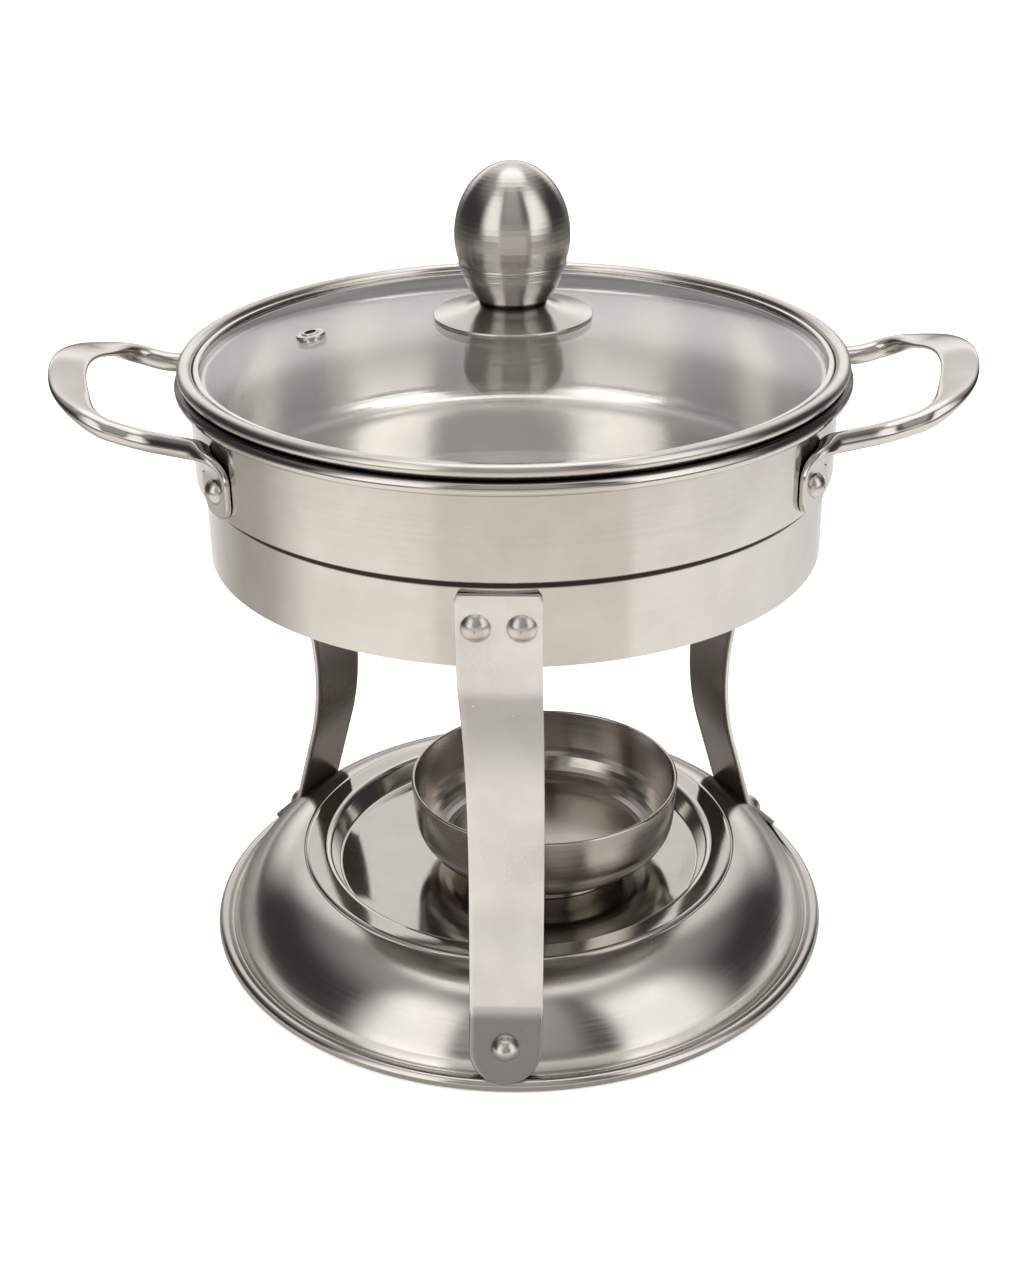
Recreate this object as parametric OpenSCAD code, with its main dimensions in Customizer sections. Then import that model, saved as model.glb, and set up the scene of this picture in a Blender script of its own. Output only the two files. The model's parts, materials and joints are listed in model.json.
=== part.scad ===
// Round chafing dish: a three-legged stand with a fuel bowl on its spun base,
// a water pan with two forged handles, a food pan and a glass lid with a knob.
// Millimetres, +Z up, the front leg toward -Y. The origin is the centre of the
// base's underside.

/* [Fits] */
// Gap between pieces that lift off or slide past each other
run_gap = 0.3; // [0.2:0.05:0.4]
// Gap round the food pan's upper wall and the lid band, which are close fits
rim_gap = 0.25; // [0.2:0.05:0.35]

/* [Base] */
// Outer radius of the base
base_r = 112; // [106:0.5:118]
// Height of the base's crest above the table
base_h = 29.4; // [27:0.2:32]
// Sheet thickness of the base
base_sheet = 1; // [0.8:0.1:1.2]
// Radius of the rolled outer edge
edge_r = 2; // [1.8:0.1:2.4]
// Width of the flat flange inside the rolled edge
flange_w = 5; // [4.5:0.1:5.5]
// Width of the lip turned under for the base to rest on
lip_w = 7.5; // [5:0.5:9]
// Steepness of the base's flank
flank_angle = 45; // [43:0.5:47]
// Height of the step from the flank down to the flange
flank_step = 4.2; // [3.8:0.1:4.4]
// Radius of the shoulder between crest and flank
shoulder_r = 14; // [8:1:18]
// Radius of the well's floor
well_r = 64; // [58:0.5:68]
// Depth of the well below the crest
well_depth = 7.1; // [5:0.1:9]
// Run of the well's sloping side
well_side = 6.5; // [5:0.5:8]

/* [Burner bowl] */
// Outer radius of the bowl's rim
bowl_r = 48.6; // [40:0.2:52]
// Height of the bowl
bowl_h = 34.4; // [26:0.2:40]
// Sheet thickness of the bowl
bowl_sheet = 1.2; // [0.8:0.1:1.6]
// How much narrower the bowl is at its floor than at its rim
bowl_flare = 2; // [1:0.2:6]
// Radius of the bend between the bowl's floor and wall
bowl_corner = 14; // [8:0.5:16]
// Height of the foot ring under the bowl's floor
bowl_foot_h = 6.4; // [4:0.2:9]
// Outer radius of the foot ring
bowl_foot_r = 30.5; // [22:0.5:31]
// Where the bowl stands in the well, to the right of the centre
bowl_x = 9.7; // [0:0.1:12]
// Where the bowl stands in the well, to the front of the centre
bowl_y = -2.2; // [-5:0.1:5]

/* [Stand] */
// Height of the stand's ring above the table
ring_z = 152.3; // [148:0.5:160]
// Height of the ring
ring_h = 27.9; // [25.5:0.1:32]
// Sheet thickness of the ring
ring_sheet = 1; // [0.8:0.1:1.5]
// How far the ring stands in from the water pan's wall
ring_step = 2.8; // [2:0.1:4]
// Number of legs
leg_count = 3;
// Turn of the legs from the front
leg_turn = -2.8; // [-6:0.1:6]
// Width of a leg's strap at its top
leg_w = 26; // [22:0.5:28]
// Width of a leg's strap at its foot
leg_foot_w = 24; // [20:0.5:25]
// Thickness of a leg's strap
leg_t = 2; // [1.5:0.1:2.5]
// How far a leg's top edge is below the ring's top
leg_drop = 3.7; // [2:0.1:5]
// Height where the legs' upper run turns inward
leg_turn_z = 147.6; // [144:0.2:148]
// Radius of the upper bend
leg_top_bend = 16; // [8:1:18]
// Distance from the axis where the legs' two long runs would meet
leg_knee_r = 75.2; // [70:0.2:78]
// Height where the legs' two long runs would meet
leg_knee_z = 91.5; // [88:0.5:95]
// Radius of the long waist bend
leg_waist_bend = 100; // [80:1:125]
// Height where a leg bends onto the base's flank
foot_bend_z = 27.2; // [25:0.2:28]
// Radius of the bend at the foot
foot_bend = 7; // [3:0.5:9]
// Height of the foot's rivet on the base's flank
foot_rivet_z = 11.6; // [11:0.1:12.4]
// Gap between a foot's tip and the rolled edge that it passes over
foot_gap = 0.12; // [0.1:0.01:0.3]

/* [Rivets] */
// Diameter of the stand rivets' domed heads
rivet_d = 9.2; // [8:0.1:10]
// Height of the domed heads
rivet_h = 2.6; // [2:0.1:3.2]
// Diameter of the rivets' shanks
shank_d = 4; // [3.5:0.1:4.2]
// Diameter of the flat tails inside
tail_d = 5.4; // [4.8:0.1:5.6]
// Thickness of the flat tails
tail_t = 1; // [0.8:0.05:1.2]
// Spacing of the two rivets at the top of each leg
rivet_gap = 13.6; // [11.5:0.1:14]
// Height of those rivets above the ring's lower edge
ring_rivet_z = 13.8; // [10:0.1:16]
// Diameter of the handle rivets' domed heads
handle_rivet_d = 8.3; // [7:0.1:9]
// Height of the handle rivets' heads
handle_rivet_h = 2.8; // [2:0.1:3.2]

/* [Water pan] */
// Outer radius of the water pan's wall
pan_r = 106.6; // [103:0.2:109]
// Sheet thickness of both pans
pan_sheet = 0.6; // [0.5:0.05:0.8]
// Height of the wall from the shoulder to the rim bead's middle
water_wall_h = 30.5; // [28:0.5:36]
// Depth of the pan's lower part inside the ring
water_depth = 23.5; // [18:0.5:26]
// Radius of the corner between floor and lower wall
water_corner = 10; // [6:0.5:12]
// Radius of the water pan's rim bead
water_bead = 2.35; // [2.2:0.05:2.5]
// How far that bead stands out from the wall
water_reach = 4.6; // [4.6:0.1:5.2]

/* [Food pan] */
// Radius of the food pan's rim bead
food_bead = 2.2; // [2:0.05:2.25]
// How far the food pan's bead stays in from the water pan's
bead_step = 1.1; // [0.6:0.1:1.5]
// Depth of the floor below the bead's middle
food_depth = 49.8; // [40:0.2:52]
// Depth of the lid's ledge below the bead's middle
seat_depth = 5.4; // [5:0.1:6.5]
// Radius of the corner between floor and wall
food_corner = 7; // [4:0.5:10]

/* [Glass lid] */
// Thickness of the glass
glass_t = 4; // [3:0.1:4.5]
// Rise of the dome from its edge to the middle
dome_rise = 14.53; // [10:0.1:18]
// Radial width of the steel band round the glass
band_w = 2; // [1.8:0.1:3]
// Height of the band
band_h = 5.9; // [5.5:0.1:6.4]
// Sheet thickness of the band
band_sheet = 0.6; // [0.4:0.05:0.8]
// Distance of the steam vent from the axis
vent_r = 66.1; // [50:0.1:80]
// Direction of the steam vent
vent_turn = 184.5; // [180:0.5:195]
// Outer diameter of the vent's flange
vent_d = 9.8; // [8.8:0.1:12]
// Diameter of the vent's bore
vent_bore = 4; // [3:0.1:4.5]
// Diameter of the vent's sleeve
vent_sleeve = 6; // [5.2:0.1:7]

/* [Knob] */
// Radius of the collar's edge on the glass
collar_r = 26.1; // [22:0.1:30]
// Height of the collar above the top of the glass
collar_h = 4.4; // [3.6:0.1:6]
// Radius of the collar's neck
neck_r = 10.6; // [10:0.1:11.4]
// Sheet thickness of the collar and the knob's shells
knob_sheet = 0.8; // [0.6:0.1:1]
// Greatest radius of the knob
knob_r = 18.7; // [17:0.1:21]
// Height of the widest place above the collar
knob_waist = 21.2; // [20:0.1:23]
// Height of the knob above its widest place
knob_top = 23.2; // [18:0.1:26]
// Vertical half size of the egg below its widest place
knob_low = 22.8; // [22:0.1:24]
// How far the seam of the knob is below its widest place
seam_drop = 9.4; // [7:0.1:11]
// Radius of the two beads along the knob's seam
seam_bead = 0.6; // [0.4:0.05:0.8]
// Diameter of the knob's screw
screw_d = 5; // [4:0.5:6]
// Diameter of the screw's head
screw_head = 10.4; // [9:0.1:12]
// Diameter of the hole in the middle of the glass
glass_hole = 8; // [7.5:0.1:9]
// Diameter of the washers under the glass
washer_d = 18; // [15:0.5:20]
// Thickness of each washer
washer_t = 1; // [0.8:0.1:1.5]

/* [Handles] */
// Diameter of the handles' rod
rod_d = 6.7; // [6:0.1:7.5]
// Width of the flattened tabs on the wall
tab_w = 18; // [15:0.1:19]
// Thickness of the flattened tabs
tab_t = 2; // [1.6:0.1:2.5]
// How deep the tabs' inner faces are ground to the wall's curve
tab_grind = 0.2; // [0.1:0.05:0.4]
// Direction of the tabs from the pan's left-right axis
tab_turn = 30.5; // [28:0.5:32]
// Height of the handle rivets above the pan's shoulder
tab_rivet_z = 9.2; // [8.8:0.1:10]
// How far a tab reaches below its rivet
tab_below = 8; // [6.8:0.1:8.4]
// Height of the bends above the rivets
arm_rise = 12.5; // [12.3:0.1:13]
// Radius of the bend from tab to arm
arm_bend = 8; // [6:0.5:8.5]
// How far out from the wall the arms turn parallel
neck_out = 11.6; // [9:0.1:13]
// Half the distance between the arms there
neck_y = 37.8; // [36:0.1:41]
// How far the arms fall from the bends to there
neck_drop = 1.6; // [0:0.1:3]
// Radius of that turn
neck_bend = 25; // [15:1:28]
// How far out from the wall the arms aim before they sweep round
sweep_out = 32.4; // [30:0.1:36]
// How far the arms aim to rise there
sweep_rise = 7.3; // [3:0.1:8]
// How far out from the wall the grip's middle is
grip_out = 39.6; // [38:0.1:44]
// Height of the grip's middle above the arms
grip_rise = 14.2; // [9:0.1:16]
// How straight the grip runs on each side of its middle
grip_y = 17; // [12:0.5:24]
// Width of the flattened grip
grip_w = 12.3; // [10:0.1:15]
// Thickness of the flattened grip
grip_t = 3; // [2.5:0.1:4]
// Upward tilt of the grip's outer edge
grip_tilt = 11; // [0:1:15]

/* [Hidden] */
$fn = 96;
big_fn = 720;
eps = 0.01;

front_az = 270 + leg_turn;
right_az = front_az + 360 / leg_count;
left_az = front_az - 360 / leg_count;

well_z = base_h - well_depth;
flange_z = 2 * edge_r;
edge_c = [base_r - edge_r, edge_r];
flank_n = [sin(flank_angle), cos(flank_angle)];
flank_d = [cos(flank_angle), -sin(flank_angle)];
flank_k = flank_n * edge_c + edge_r + foot_gap;

pan_in = pan_r - pan_sheet;
ring_r = pan_r - ring_step;
ring_in = ring_r - ring_sheet;
ring_top = ring_z + ring_h;
leg_face = ring_r + leg_t;
shoulder_z = ring_top + run_gap;
water_low_r = ring_in - tail_t - run_gap;
water_floor = shoulder_z - water_depth;
water_bead_z = shoulder_z + water_wall_h;
water_rim = pan_r + water_reach;

food_wall = pan_in - rim_gap;
food_in = food_wall - pan_sheet;
food_rim = water_rim - bead_step;
bead_dx = max(0, pan_in + water_bead - (food_rim - food_bead));
bead_reach = water_bead + food_bead + run_gap;
food_bead_z = water_bead_z + sqrt(bead_reach * bead_reach - bead_dx * bead_dx);
food_floor = food_bead_z - food_depth;
food_low_in = water_low_r - pan_sheet - run_gap - pan_sheet;
seat_z = food_bead_z - seat_depth;

band_r = food_in - rim_gap;
band_z = seat_z + run_gap;
glass_r = band_r - band_sheet;
dome_r = (glass_r * glass_r + dome_rise * dome_rise) / (2 * dome_rise);
dome_in = dome_r - glass_t;
dome_z = band_z + band_sheet - sqrt(dome_in * dome_in - glass_r * glass_r);
apex_z = dome_z + dome_r;
vent_tilt = asin(vent_r / dome_r);

collar_top = apex_z + collar_h;
knob_z = collar_top + knob_waist;
seam_z = knob_z - seam_drop;
seam_turn = asin(seam_drop / knob_low);
seam_past = 4;
cup_turn = 28;
cup_r = 10.3;
insert_d = 9.6;
insert_h = 12;
washer_z = dome_z + dome_in - washer_t;
head_z = washer_z - washer_t;
head_h = 2.6;
slot_d = 1.2;

tab_rivet = shoulder_z + tab_rivet_z;
arm_z = tab_rivet + arm_rise;
tab_flat = pan_r + tab_t - tab_grind;

// Outline helpers
function unit(v) = v / norm(v);
function mix(a, b, s) = a * (1 - s) + b * s;
function ease(s) = s * s * (3 - 2 * s);
function back(p) = [for (i = [len(p) - 1:-1:0]) p[i]];

// Points of the arc that rounds corner b between a and c
function corner(a, b, c, r, n) =
  let (u = unit(a - b), v = unit(c - b), half = acos(u * v) / 2)
  let (mid = b + unit(u + v) * r / sin(half))
  let (e = unit(b + u * r / tan(half) - mid), f = unit(b + v * r / tan(half) - mid))
  let (g = unit(f - e * (e * f)), turn = 180 - 2 * half)
  [for (i = [0:n]) mid + r * (e * cos(turn * i / n) + g * sin(turn * i / n))];

// Open outline through corner points, each one [point, radius, steps]
function outline(p) = distinct([for (i = [0:len(p) - 1])
  each (i == 0 || i == len(p) - 1 || p[i][1] == 0) ? [p[i][0]]
    : corner(p[i - 1][0], p[i][0], p[i + 1][0], p[i][1], p[i][2])]);
function distinct(p) = [for (i = [0:len(p) - 1])
  if (i == 0 || norm(p[i] - p[max(i - 1, 0)]) > 0.001) p[i]];

// The same outline moved sideways by t, to the left of its direction
function side(a, b) = [a[1] - b[1], b[0] - a[0]] / norm(b - a);
function beside(p, t) = [for (i = [0:len(p) - 1])
  let (n = len(p) - 1)
  let (m = (side(p[max(i - 1, 0)], p[max(i, 1)]) + side(p[min(i, n - 1)], p[min(i + 1, n)])) / 2)
  p[i] + t * m / (m * m)];
function strip(p, t) = concat(p, back(beside(p, t)));
function dome_height(x, ball) = dome_z + sqrt(ball * ball - x * x);
function flank_r(z, lift) = (flank_k + lift - z * flank_n[1]) / flank_n[0];
function egg(turn, tall) = [knob_r * cos(turn), knob_z + tall * sin(turn)];

// Section of a pan: wall from inside and outside, closed by a rim bead of radius r
function pan_section(inner, outer, z, r, rim) =
  let (x_in = inner[len(inner) - 1][0], x_wall = outer[len(outer) - 1][0])
  distinct(concat(inner, outline([
    [[x_in, z - r], 0, 1],
    [[x_in, z + r], r, 8],
    [[rim, z + r], r, 8],
    [[rim, z - r], r, 8],
    [[x_wall, z - r], 0, 1]
  ]), back(outer)));

// Rivet along +X: domed head on the plane x = 0, shank and tail behind it
module domed_head(d, h) {
  ball = (d * d / 4 + h * h) / (2 * h);
  rotate([0, 90, 0]) rotate_extrude() intersection() {
    translate([0, h - ball]) circle(r = ball);
    square([d, h]);
  }
}

module rivet(d, h, grip) {
  domed_head(d, h);
  translate([-grip, 0, 0]) rotate([0, 90, 0]) cylinder(d = shank_d, h = grip + eps);
}

module bore_x(x0, x1, d) {
  translate([x0, 0, 0]) rotate([0, 90, 0]) cylinder(d = d, h = x1 - x0);
}

// Base of spun sheet, with the well for the bowl and the edge rolled under
module base_tray() {
  top = outline([
    [[0, well_z], 0, 1],
    [[well_r, well_z], 4, 5],
    [[well_r + well_side, base_h], 4, 6],
    [[flank_r(base_h, 0), base_h], shoulder_r, 9],
    [[flank_r(flange_z + flank_step, 0), flange_z + flank_step], 1, 4],
    [[base_r - flange_w, flange_z], 0.8, 4],
    [[base_r, flange_z], edge_r, 8],
    [[base_r, 0], edge_r, 8],
    [[base_r - lip_w, 0], 0, 1]
  ]);
  color([0.66, 0.64, 0.61]) difference() {
    rotate_extrude() polygon(strip(top, -base_sheet));
    for (i = [0:leg_count - 1])
      rotate([0, 0, front_az + i * 360 / leg_count]) foot_frame() bore_x(-4, 4, shank_d);
  }
}

// Frame on the base's flank at a foot's rivet: local +X is the flank's normal
module foot_frame() {
  translate([flank_r(foot_rivet_z, 0), 0, foot_rivet_z])
    rotate([0, -atan2(flank_n[1], flank_n[0]), 0]) children();
}

// Legs: flat straps bent in one plane
foot_tip = [flank_r(foot_rivet_z, 0), foot_rivet_z] + flank_n * leg_t + flank_d * leg_foot_w / 2;
leg_turn_p = [leg_face, leg_turn_z];
leg_knee_p = [leg_knee_r, leg_knee_z];
leg_foot_p = [flank_r(foot_bend_z, leg_t), foot_bend_z];

module leg() {
  face = outline([
    [[leg_face, ring_top - leg_drop], 0, 1],
    [leg_turn_p, leg_top_bend, 8],
    [leg_knee_p, leg_waist_bend, 16],
    [leg_foot_p, foot_bend, 4],
    [foot_tip, 0, 1]
  ]);
  difference() {
    intersection() {
      rotate([90, 0, 0]) linear_extrude(leg_w + 2, center = true) polygon(strip(face, -leg_t));
      rotate([90, 0, 90]) linear_extrude(2 * base_r) polygon([
        [-leg_foot_w / 2, 0],
        [leg_foot_w / 2, 0],
        [leg_w / 2, ring_top],
        [-leg_w / 2, ring_top]
      ]);
    }
    for (s = [-1, 1]) {
      translate([0, s * rivet_gap / 2, ring_z + ring_rivet_z])
        bore_x(ring_r - 2, leg_face + 2, shank_d);
      leg_top_corner(s);
    }
    foot_frame() {
      bore_x(-1, leg_t + 1, shank_d);
      foot_end();
    }
  }
}

// Waste beyond a foot's half-round end
module foot_end() {
  difference() {
    translate([-2, -leg_w, -2 * leg_w]) cube([leg_t + 4, 2 * leg_w, 2 * leg_w]);
    bore_x(-3, leg_t + 3, leg_foot_w + 0.3);
  }
}

// Waste outside a small rounded corner at a leg's top
module leg_top_corner(s) {
  r = 1.6;
  translate([0, s * (leg_w / 2 - r), ring_top - leg_drop - r]) difference() {
    translate([ring_r - 1, s > 0 ? 0 : -2 * r, 0]) cube([leg_t + 2, 2 * r, 2 * r]);
    bore_x(ring_r - 2, leg_face + 2, 2 * r);
  }
}

module front_leg() color([0.74, 0.73, 0.70]) rotate([0, 0, front_az]) leg();
module left_leg() color([0.72, 0.70, 0.66]) rotate([0, 0, left_az]) leg();
module right_leg() color([0.72, 0.70, 0.66]) rotate([0, 0, right_az]) leg();

// Ring that carries the water pan
module stand_ring() {
  color([0.78, 0.76, 0.73]) difference() {
    rotate_extrude() translate([ring_in, ring_z]) square([ring_sheet, ring_h]);
    for (i = [0:leg_count - 1], s = [-1, 1])
      rotate([0, 0, front_az + i * 360 / leg_count])
        translate([0, s * rivet_gap / 2, ring_z + ring_rivet_z])
          bore_x(ring_in - 2, ring_r + 2, shank_d);
  }
}

// Three rivets of a leg: two through the ring and one through the flank
module leg_rivets() {
  for (s = [-1, 1]) {
    translate([leg_face, s * rivet_gap / 2, ring_z + ring_rivet_z])
      rivet(rivet_d, rivet_h, leg_t + ring_sheet + tail_t);
    intersection() {
      translate([0, s * rivet_gap / 2, ring_z + ring_rivet_z])
        bore_x(ring_in - tail_t, ring_in + 1, tail_d);
      translate([0, 0, ring_z]) cylinder(r = ring_in, h = ring_h);
    }
  }
  foot_frame() translate([leg_t, 0, 0]) rivet(rivet_d, rivet_h, leg_t + base_sheet + tail_t);
  difference() {
    foot_frame() bore_x(-base_sheet - tail_t, -base_sheet / 2, tail_d);
    rotate_extrude() polygon([
      [flank_r(base_h, -base_sheet), base_h],
      [flank_r(0, -base_sheet), 0],
      [flank_r(0, base_sheet), 0],
      [flank_r(base_h, base_sheet), base_h]
    ]);
  }
}

module front_leg_rivets() color([0.82, 0.82, 0.80]) rotate([0, 0, front_az]) leg_rivets();
module left_leg_rivets() color([0.82, 0.82, 0.80]) rotate([0, 0, left_az]) leg_rivets();
module right_leg_rivets() color([0.82, 0.82, 0.80]) rotate([0, 0, right_az]) leg_rivets();

// Bowl for the fuel, standing loose in the well on a foot ring
module burner_bowl() {
  foot_lean = 1;
  foot_z = well_z + run_gap;
  floor_z = foot_z + bowl_foot_h;
  outer = outline([
    [[0, floor_z], 0, 1],
    [[bowl_r - bowl_flare, floor_z], bowl_corner, 10],
    [[bowl_r, foot_z + bowl_h - bowl_sheet / 2], 0, 1]
  ]);
  color([0.52, 0.48, 0.42]) translate([bowl_x, bowl_y, 0]) rotate_extrude() {
    polygon(strip(outer, bowl_sheet));
    translate([bowl_r - bowl_sheet / 2, foot_z + bowl_h - bowl_sheet / 2])
      circle(d = bowl_sheet);
    polygon([
      [bowl_foot_r - bowl_sheet, foot_z],
      [bowl_foot_r, foot_z],
      [bowl_foot_r - foot_lean, floor_z + bowl_sheet / 2],
      [bowl_foot_r - foot_lean - bowl_sheet, floor_z + bowl_sheet / 2]
    ]);
  }
}

// Water pan: the lower part stands inside the ring, the shoulder rests on it
module water_pan() {
  outer = outline([
    [[0, water_floor], 0, 1],
    [[water_low_r, water_floor], water_corner, 8],
    [[water_low_r, shoulder_z], 0.6, 3],
    [[pan_r, shoulder_z], 1.1, 4],
    [[pan_r, water_bead_z - water_bead], 0, 1]
  ]);
  section = pan_section(beside(outer, pan_sheet), outer, water_bead_z, water_bead, water_rim);
  color([0.80, 0.77, 0.73]) difference() {
    rotate_extrude() polygon(section);
    for (x = [0, 180], s = [-1, 1])
      rotate([0, 0, x + s * tab_turn]) translate([0, 0, tab_rivet])
        bore_x(pan_in - 2, pan_r + 2, shank_d);
  }
}

// Food pan: hangs by its bead on the water pan's bead, with a ledge for the lid
module food_pan() {
  inner = outline([
    [[0, food_floor], 0, 1],
    [[food_low_in, food_floor], food_corner, 8],
    [[food_low_in, seat_z], 1, 4],
    [[food_in, seat_z], 0.8, 4],
    [[food_in, food_bead_z - food_bead], 0, 1]
  ]);
  color([0.70, 0.70, 0.69]) rotate_extrude()
    polygon(pan_section(inner, beside(inner, -pan_sheet), food_bead_z, food_bead, food_rim));
}

// Handles: one rod each, forged flat at the grip and at both tabs.
// A station is [centre, width, thickness, direction of the thickness, roundness].
bend_steps = 9;
grip_steps = 12;
tab_out = [cos(tab_turn), sin(tab_turn), 0];
down = [0, 0, -1];
grip_n = [sin(grip_tilt), 0, -cos(grip_tilt)];
tab_c = tab_out * (tab_flat - tab_t / 2);
tab_end = [tab_c[0], tab_c[1], tab_rivet - tab_below];
bend_p = [tab_c[0], tab_c[1], arm_z];
neck_p = [pan_r + neck_out, neck_y, arm_z - neck_drop];
sweep_p = [pan_r + sweep_out, neck_y, neck_p[2] + sweep_rise];
grip_mid = [pan_r + grip_out, 0, neck_p[2] + grip_rise];
tab_round = 0.25;
grip_round = 0.8;
flat_from = 0.12;
flat_full = 0.62;

function bezier(a, b, c, d, s) = let (t = 1 - s)
  a * t * t * t + b * 3 * t * t * s + c * 3 * t * s * s + d * s * s * s;
function limit(s) = max(0, min(1, s));

// A tab: full width above, rounded toward its lower end
tab_run = arm_z - arm_bend - tab_end[2];
function tab_width(s) = tab_w * mix(0.3, 1, sqrt(1 - pow(1 - min(1, 2 * s), 2)));
tab_part = [for (s = [0, 0.05, 0.14, 0.28, 0.5, 0.75])
  [tab_end + [0, 0, s * tab_run], tab_width(s), tab_t, tab_out, tab_round]];

// The bend, where the tab narrows and thickens to the rod
bend_arc = corner(tab_end, bend_p, neck_p, arm_bend, bend_steps);
bend_part = [for (i = [0:bend_steps]) let (s = i / bend_steps)
  [bend_arc[i], mix(tab_w, rod_d, ease(s)), mix(tab_t, rod_d, ease(s)),
    mix(tab_out, down, s), mix(tab_round, 1, s)]];

// The arm, and its sweep up and round into the grip
neck_arc = corner(bend_p, neck_p, sweep_p, neck_bend, 5);
neck_part = [for (p = neck_arc) [p, rod_d, rod_d, down, 1]];
grip_part = [for (i = [1:grip_steps]) let (s = i / grip_steps, f = ease(limit((s - flat_from) / (flat_full - flat_from))))
  [bezier(neck_arc[5], sweep_p, [grip_mid[0], grip_y, grip_mid[2]], grip_mid, s),
    mix(rod_d, grip_w, f), mix(rod_d, grip_t, f), mix(down, grip_n, f), mix(1, grip_round, f)]];

half_bar = concat(tab_part, bend_part, neck_part, grip_part);
function over(v) = [v[0], -v[1], v[2]];
function across(a) = [over(a[0]), a[1], a[2], over(a[3]), a[4]];
bar = concat(half_bar, [for (i = [len(half_bar) - 2:-1:0]) across(half_bar[i])]);

// One ring of points round a station, between an ellipse and a rectangle
ring_points = 20;
function bulge(v, k) = sign(v) * pow(abs(v), k);
function bar_way(i) =
  i < len(tab_part) ? [0, 0, 1]
    : (i >= len(bar) - len(tab_part) ? [0, 0, -1] : unit(bar[i + 1][0] - bar[i - 1][0]));
function bar_ring(i) =
  let (way = bar_way(i), wide = unit(cross(way, bar[i][3])), thick = cross(way, wide))
  [for (k = [0:ring_points - 1]) let (a = (k + 0.5) * 360 / ring_points)
    bar[i][0] + wide * bar[i][1] / 2 * bulge(cos(a), bar[i][4])
      + thick * bar[i][2] / 2 * bulge(sin(a), bar[i][4])];

module handle() {
  m = ring_points;
  n = len(bar);
  difference() {
    polyhedron(
      points = [for (i = [0:n - 1]) each bar_ring(i)],
      faces = concat(
        [[for (k = [0:m - 1]) k]],
        [[for (k = [m - 1:-1:0]) (n - 1) * m + k]],
        [for (i = [0:n - 2], k = [0:m - 1]) let (j = (k + 1) % m)
          each [[i * m + j, i * m + k, i * m + m + k], [i * m + j, i * m + m + k, i * m + m + j]]]
      ),
      convexity = 6
    );
    translate([0, 0, shoulder_z]) cylinder(r = pan_r, h = water_wall_h);
    for (s = [-1, 1])
      rotate([0, 0, s * tab_turn]) translate([0, 0, tab_rivet])
        bore_x(pan_r - 2, tab_flat + 1, shank_d);
  }
}

module right_handle() color([0.68, 0.66, 0.62]) handle();
module left_handle() color([0.68, 0.66, 0.62]) rotate([0, 0, 180]) handle();

// Two rivets of a handle, with flat tails inside the water pan
module handle_rivets() {
  for (s = [-1, 1])
    rotate([0, 0, s * tab_turn]) {
      translate([tab_flat, 0, tab_rivet])
        rivet(handle_rivet_d, handle_rivet_h, tab_flat - pan_in + tail_t);
      intersection() {
        translate([0, 0, tab_rivet]) bore_x(pan_in - tail_t, pan_in + 1, tail_d);
        translate([0, 0, shoulder_z]) cylinder(r = pan_in, h = water_wall_h);
      }
    }
}

module right_handle_rivets() color([0.82, 0.82, 0.80]) handle_rivets();
module left_handle_rivets() color([0.82, 0.82, 0.80]) rotate([0, 0, 180]) handle_rivets();

// Section of the glass dome: two circles about one centre, out to radius x
module dome_section(x) {
  intersection() {
    translate([0, dome_z]) difference() {
      circle(r = dome_r, $fn = big_fn);
      circle(r = dome_in, $fn = big_fn);
    }
    translate([0, dome_z]) square([x, dome_r + 1]);
  }
}

// Frame on the glass at the vent: local +Z is the dome's normal
module vent_frame() {
  translate([0, 0, dome_z]) rotate([0, 0, vent_turn]) rotate([0, vent_tilt, 0])
    translate([0, 0, dome_r]) children();
}

module lid_glass() {
  color([0.80, 0.88, 0.87, 0.45]) difference() {
    rotate_extrude() difference() {
      dome_section(glass_r);
      translate([-1, dome_z]) square([1 + glass_hole / 2, dome_r + 1]);
    }
    vent_frame() translate([0, 0, -glass_t - 1]) cylinder(d = vent_sleeve, h = glass_t + 2);
  }
}

// Steel band crimped round the glass, closed on both faces of its edge
module lid_band() {
  band_top = band_z + band_h;
  shell = outline([
    [[band_r - band_w, band_z], 0, 1],
    [[band_r, band_z], 0.8, 5],
    [[band_r, band_top], 0.8, 5],
    [[band_r - band_w, band_top], 0.3, 3],
    [[band_r - band_w, band_z], 0, 1]
  ]);
  color([0.80, 0.79, 0.77]) rotate_extrude() difference() {
    polygon(shell);
    dome_section(glass_r);
  }
}

// Eyelet that lets the steam out, flanged on both faces of the glass
module steam_vent() {
  lip = 0.9;
  top = dome_height(vent_sleeve / 2, dome_r) - apex_z;
  foot_r = vent_d / 2 - 0.6;
  foot = dome_height(foot_r, dome_in) - apex_z;
  color([0.70, 0.69, 0.67]) vent_frame() rotate_extrude() polygon(outline([
    [[vent_bore / 2, foot - lip], 0, 1],
    [[foot_r, foot - lip], 0.4, 3],
    [[foot_r, foot], 0, 1],
    [[vent_sleeve / 2, foot], 0, 1],
    [[vent_sleeve / 2, top], 0, 1],
    [[vent_d / 2, top], 0, 1],
    [[vent_d / 2, top + lip], 0.5, 4],
    [[vent_bore / 2 + 0.9, top + lip], 0.2, 2],
    [[vent_bore / 2 + 0.8, top + 1.4 * lip], 0.3, 3],
    [[vent_bore / 2, top + 1.4 * lip], 0, 1]
  ]));
}

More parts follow.
